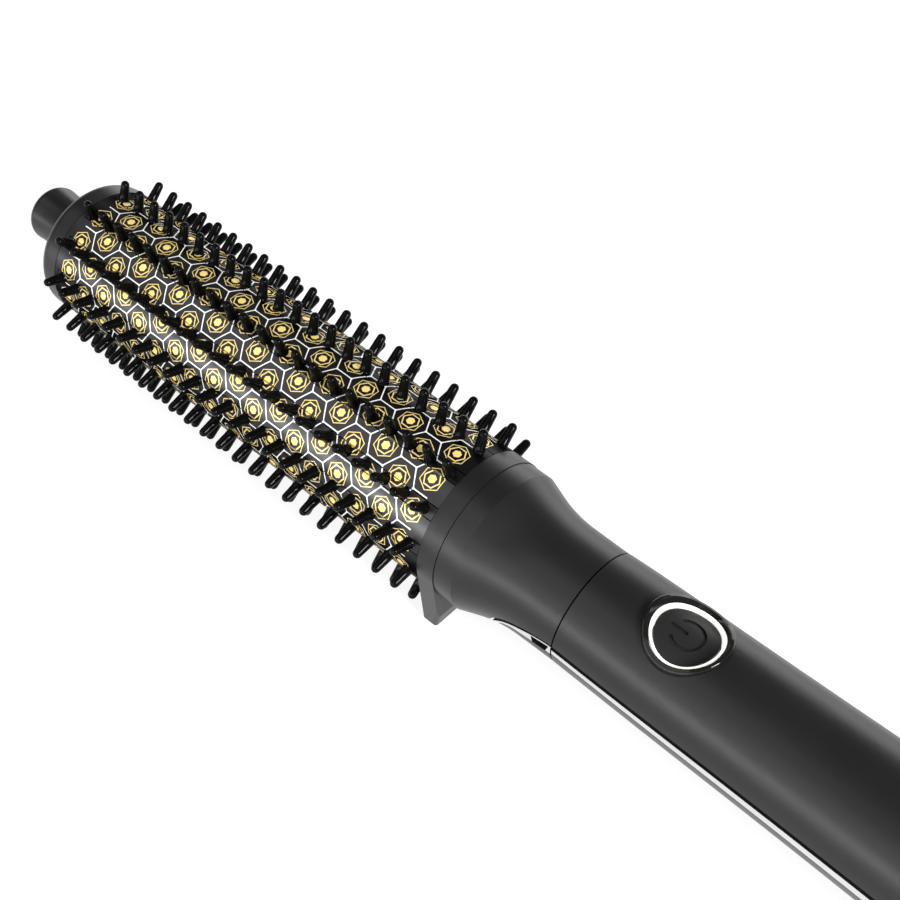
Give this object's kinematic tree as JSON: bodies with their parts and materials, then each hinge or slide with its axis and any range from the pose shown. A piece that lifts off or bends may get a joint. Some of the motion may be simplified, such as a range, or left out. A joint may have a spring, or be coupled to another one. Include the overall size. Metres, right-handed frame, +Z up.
{
  "type": "heated styling brush",
  "caption": "Heated round hair brush: slotted printed barrel with rows of pins, cool tip, rest foot, flared neck, trimmed handle with a lit power button, and swivel cord gland.",
  "frame": {"origin": "centre of the cord gland's mouth, on the brush's long axis", "axes": "+X out of the handle's butt along the long axis, so the cool tip lies at -X; +Z up through the power button, with the rest foot hanging towards -Z; +Y across"},
  "size_m": [0.3434, 0.0484, 0.0489],
  "materials": {
    "moulded_black": "fine satin texture",
    "moulded_grey": "fine satin texture",
    "bristle_black": "polished",
    "barrel_coating": "glossy charcoal coat with a printed net in gold and white",
    "bright_trim": "bright, lightly brushed",
    "bezel_gloss": "polished",
    "light_guide": "clear white, satin face",
    "button_black": "matte, engraved symbol",
    "heatproof_moulding": "dull, lightly mottled",
    "spreader_metal": "extruded, fine lengthwise lines",
    "ceramic": "fired, dull",
    "amber_film": "smooth amber",
    "spring_steel": "blued grey",
    "screw_steel": "zinc plated",
    "contact_metal": "satin brass",
    "sensor_bead": "dipped bead",
    "fuse_can": "drawn can",
    "board_laminate": "green solder mask",
    "chip_black": "dull moulding",
    "plunger_grey": "smooth",
    "light_chip": "clear over pale yellow",
    "capacitor_case": "smooth case",
    "terminal_green": "moulded",
    "contact_carrier": "moulded",
    "glass_sleeving": "braided sleeve",
    "lead_jacket": "extruded jacket"
  },
  "bodies": {
    "brush": {"barrel_bushing": "heatproof_moulding", "barrel_tube": "barrel_coating", "board_screws": "screw_steel", "bristle_strip_01": "bristle_black", "bristle_strip_02": "bristle_black", "bristle_strip_03": "bristle_black", "bristle_strip_04": "bristle_black", "bristle_strip_05": "bristle_black", "bristle_strip_06": "bristle_black", "bristle_strip_07": "bristle_black", "bristle_strip_08": "bristle_black", "bristle_strip_09": "bristle_black", "bristle_strip_10": "bristle_black", "bristle_strip_11": "bristle_black", "bristle_strip_12": "bristle_black", "bushing_screws": "screw_steel", "button_bezel": "bezel_gloss", "contact_block": "contact_carrier", "contact_springs": "contact_metal", "control_board": "board_laminate", "controller_chip": "chip_black", "cool_tip": "moulded_black", "film_capacitor": "capacitor_case", "handle_end_cap": "moulded_black", "handle_lower_shell": "moulded_grey", "handle_trim_left": "bright_trim", "handle_trim_right": "bright_trim", "handle_upper_shell": "moulded_black", "heat_spreader_lower": "spreader_metal", "heat_spreader_upper": "spreader_metal", "heater_film": "amber_film", "heater_leads": "glass_sleeving", "heater_plate": "ceramic", "heater_terminals": "contact_metal", "light_ring": "light_guide", "neck_shell": "moulded_black", "neck_trim": "bright_trim", "power_chip": "chip_black", "rest_collar": "moulded_black", "ring_lights": "light_chip", "sensor_leads": "glass_sleeving", "shell_screws": "screw_steel", "spreader_springs": "spring_steel", "supply_leads": "lead_jacket", "switch_body": "chip_black", "terminal_blocks": "terminal_green", "thermal_fuse": "fuse_can", "thermistor": "sensor_bead", "tip_insulator": "heatproof_moulding", "tip_screw": "screw_steel"},
    "button": {"power_button": "button_black", "switch_plunger": "plunger_grey"},
    "gland": {"swivel_gland": "moulded_black", "swivel_clip": "spring_steel", "slip_rings": "contact_metal"}
  },
  "joints": [
    {"name": "power_press", "type": "slide", "parent": "brush", "child": "button", "axis": [0, 0, -1], "range_m": [0, 0.0006], "stiffness_N_per_m": 3000},
    {"name": "cord_swivel", "type": "hinge", "parent": "brush", "child": "gland", "pos_m": [0, 0, 0], "axis": [1, 0, 0], "continuous": true}
  ]
}
